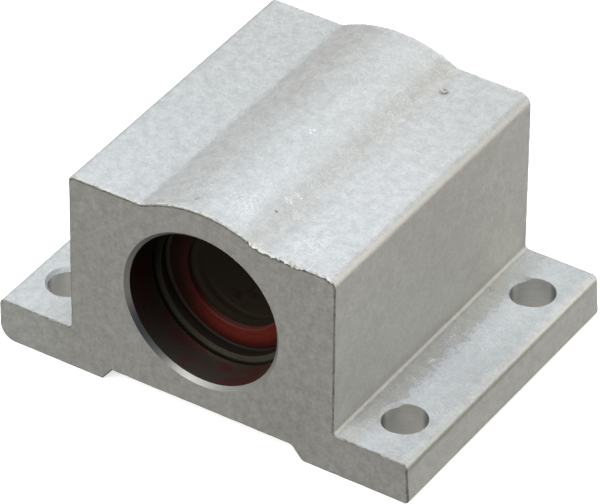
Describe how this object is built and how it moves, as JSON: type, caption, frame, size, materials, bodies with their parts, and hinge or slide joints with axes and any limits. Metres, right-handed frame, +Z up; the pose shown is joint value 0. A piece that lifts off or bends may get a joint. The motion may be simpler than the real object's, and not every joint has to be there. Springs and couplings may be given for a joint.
{
  "type": "linear ball bushing",
  "caption": "Closed pillow block with a sealed recirculating linear ball bushing inside, on bolt-down side flanges.",
  "frame": {"origin": "centre of the base, in the plane of the two feet", "axes": "+X across the flanges, +Y along the bore from the front face to the rear face, +Z up from the base"},
  "size_m": [0.0444, 0.0334, 0.0234],
  "materials": {
    "housing_aluminium": "as-extruded, dull and faintly mottled, machined in the mouths and holes",
    "retaining_ring_steel": "oiled phosphated spring steel",
    "sleeve_steel": "ground hardened steel",
    "retainer_polymer": "moulded black acetal",
    "end_ring_steel": "stamped steel",
    "wiper_rubber": "matt nitrile",
    "seal_red": "matt red elastomer",
    "ball_steel": "polished bearing steel"
  },
  "bodies": {
    "housing": {"housing": "housing_aluminium", "front_retaining_ring": "retaining_ring_steel", "rear_retaining_ring": "retaining_ring_steel"},
    "bushing": {"outer_sleeve": "sleeve_steel", "ball_retainer": "retainer_polymer", "front_end_ring": "end_ring_steel", "front_wiper": "wiper_rubber", "front_seal_ring": "seal_red", "rear_end_ring": "end_ring_steel", "rear_wiper": "wiper_rubber", "rear_seal_ring": "seal_red"},
    "loaded_row_1": {"loaded_balls_1": "ball_steel"},
    "return_row_1": {"return_balls_1": "ball_steel"},
    "front_turn_1": {"front_turn_balls_1": "ball_steel"},
    "rear_turn_1": {"rear_turn_balls_1": "ball_steel"},
    "loaded_row_2": {"loaded_balls_2": "ball_steel"},
    "return_row_2": {"return_balls_2": "ball_steel"},
    "front_turn_2": {"front_turn_balls_2": "ball_steel"},
    "rear_turn_2": {"rear_turn_balls_2": "ball_steel"},
    "loaded_row_3": {"loaded_balls_3": "ball_steel"},
    "return_row_3": {"return_balls_3": "ball_steel"},
    "front_turn_3": {"front_turn_balls_3": "ball_steel"},
    "rear_turn_3": {"rear_turn_balls_3": "ball_steel"},
    "loaded_row_4": {"loaded_balls_4": "ball_steel"},
    "return_row_4": {"return_balls_4": "ball_steel"},
    "front_turn_4": {"front_turn_balls_4": "ball_steel"},
    "rear_turn_4": {"rear_turn_balls_4": "ball_steel"}
  },
  "joints": [
    {"name": "bushing_spin", "type": "hinge", "parent": "housing", "child": "bushing", "pos_m": [0, 0, 0.01225], "axis": [0, 1, 0], "continuous": true},
    {"name": "ball_travel_1", "type": "slide", "parent": "bushing", "child": "loaded_row_1", "axis": [0, 1, 0], "range_m": [-0.00086, 0.00086]},
    {"name": "ball_return_1", "type": "slide", "parent": "bushing", "child": "return_row_1", "axis": [0, 1, 0], "range_m": [-0.00087, 0.00087]},
    {"name": "front_turning_1", "type": "hinge", "parent": "bushing", "child": "front_turn_1", "pos_m": [0.00269, -0.00606, 0.01731], "axis": [0.2344, 0, 0.9721], "range_deg": [-30.1, 30.1]},
    {"name": "rear_turning_1", "type": "hinge", "parent": "bushing", "child": "rear_turn_1", "pos_m": [0.00269, 0.00606, 0.01731], "axis": [0.2344, 0, 0.9721], "range_deg": [-30.1, 30.1]},
    {"name": "ball_travel_2", "type": "slide", "parent": "bushing", "child": "loaded_row_2", "axis": [0, 1, 0], "range_m": [-0.00086, 0.00086]},
    {"name": "ball_return_2", "type": "slide", "parent": "bushing", "child": "return_row_2", "axis": [0, 1, 0], "range_m": [-0.00087, 0.00087]},
    {"name": "front_turning_2", "type": "hinge", "parent": "bushing", "child": "front_turn_2", "pos_m": [-0.00506, -0.00606, 0.01494], "axis": [-0.9721, 0, 0.2344], "range_deg": [-30.1, 30.1]},
    {"name": "rear_turning_2", "type": "hinge", "parent": "bushing", "child": "rear_turn_2", "pos_m": [-0.00506, 0.00606, 0.01494], "axis": [-0.9721, 0, 0.2344], "range_deg": [-30.1, 30.1]},
    {"name": "ball_travel_3", "type": "slide", "parent": "bushing", "child": "loaded_row_3", "axis": [0, 1, 0], "range_m": [-0.00086, 0.00086]},
    {"name": "ball_return_3", "type": "slide", "parent": "bushing", "child": "return_row_3", "axis": [0, 1, 0], "range_m": [-0.00087, 0.00087]},
    {"name": "front_turning_3", "type": "hinge", "parent": "bushing", "child": "front_turn_3", "pos_m": [-0.00269, -0.00606, 0.00719], "axis": [-0.2344, 0, -0.9721], "range_deg": [-30.1, 30.1]},
    {"name": "rear_turning_3", "type": "hinge", "parent": "bushing", "child": "rear_turn_3", "pos_m": [-0.00269, 0.00606, 0.00719], "axis": [-0.2344, 0, -0.9721], "range_deg": [-30.1, 30.1]},
    {"name": "ball_travel_4", "type": "slide", "parent": "bushing", "child": "loaded_row_4", "axis": [0, 1, 0], "range_m": [-0.00086, 0.00086]},
    {"name": "ball_return_4", "type": "slide", "parent": "bushing", "child": "return_row_4", "axis": [0, 1, 0], "range_m": [-0.00087, 0.00087]},
    {"name": "front_turning_4", "type": "hinge", "parent": "bushing", "child": "front_turn_4", "pos_m": [0.00506, -0.00606, 0.00956], "axis": [0.9721, 0, -0.2344], "range_deg": [-30.1, 30.1]},
    {"name": "rear_turning_4", "type": "hinge", "parent": "bushing", "child": "rear_turn_4", "pos_m": [0.00506, 0.00606, 0.00956], "axis": [0.9721, 0, -0.2344], "range_deg": [-30.1, 30.1]}
  ],
  "couplings": [
    {"joint": "ball_return_1", "follows": "ball_travel_1", "ratio": -1},
    {"joint": "front_turning_1", "follows": "ball_travel_1", "rad_per_m": -605.25},
    {"joint": "rear_turning_1", "follows": "ball_travel_1", "rad_per_m": -605.25},
    {"joint": "ball_return_2", "follows": "ball_travel_2", "ratio": -1},
    {"joint": "front_turning_2", "follows": "ball_travel_2", "rad_per_m": -605.25},
    {"joint": "rear_turning_2", "follows": "ball_travel_2", "rad_per_m": -605.25},
    {"joint": "ball_return_3", "follows": "ball_travel_3", "ratio": -1},
    {"joint": "front_turning_3", "follows": "ball_travel_3", "rad_per_m": -605.25},
    {"joint": "rear_turning_3", "follows": "ball_travel_3", "rad_per_m": -605.25},
    {"joint": "ball_return_4", "follows": "ball_travel_4", "ratio": -1},
    {"joint": "front_turning_4", "follows": "ball_travel_4", "rad_per_m": -605.25},
    {"joint": "rear_turning_4", "follows": "ball_travel_4", "rad_per_m": -605.25}
  ]
}
